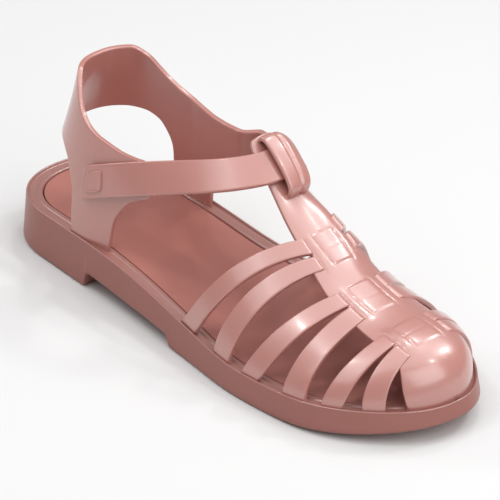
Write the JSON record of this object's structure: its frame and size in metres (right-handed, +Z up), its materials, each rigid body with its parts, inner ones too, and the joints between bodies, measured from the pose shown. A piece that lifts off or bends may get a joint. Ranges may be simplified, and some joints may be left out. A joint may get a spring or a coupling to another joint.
{
  "type": "jelly shoe",
  "caption": "Moulded jelly sandal for the right foot: woven cage upper with a closed toe, T-bar with a strap loop, open heel with an ankle strap, thick sole.",
  "frame": {"origin": "on the floor under the middle of the shoe's box", "axes": "+X towards the toe, +Y towards the medial side, +Z up"},
  "size_m": [0.2524, 0.0932, 0.0888],
  "materials": {
    "sole_jelly": "glossy moulded soft plastic, dusty pink",
    "footbed_jelly": "satin moulded soft plastic, dusty pink",
    "cage_jelly": "glossy moulded soft plastic, dusty pink",
    "strap_jelly": "glossy moulded soft plastic, dusty pink"
  },
  "bodies": {
    "root": {"outsole": "sole_jelly", "insole": "footbed_jelly", "upper": "cage_jelly", "heel_and_ankle_strap": "strap_jelly"}
  },
  "joints": []
}
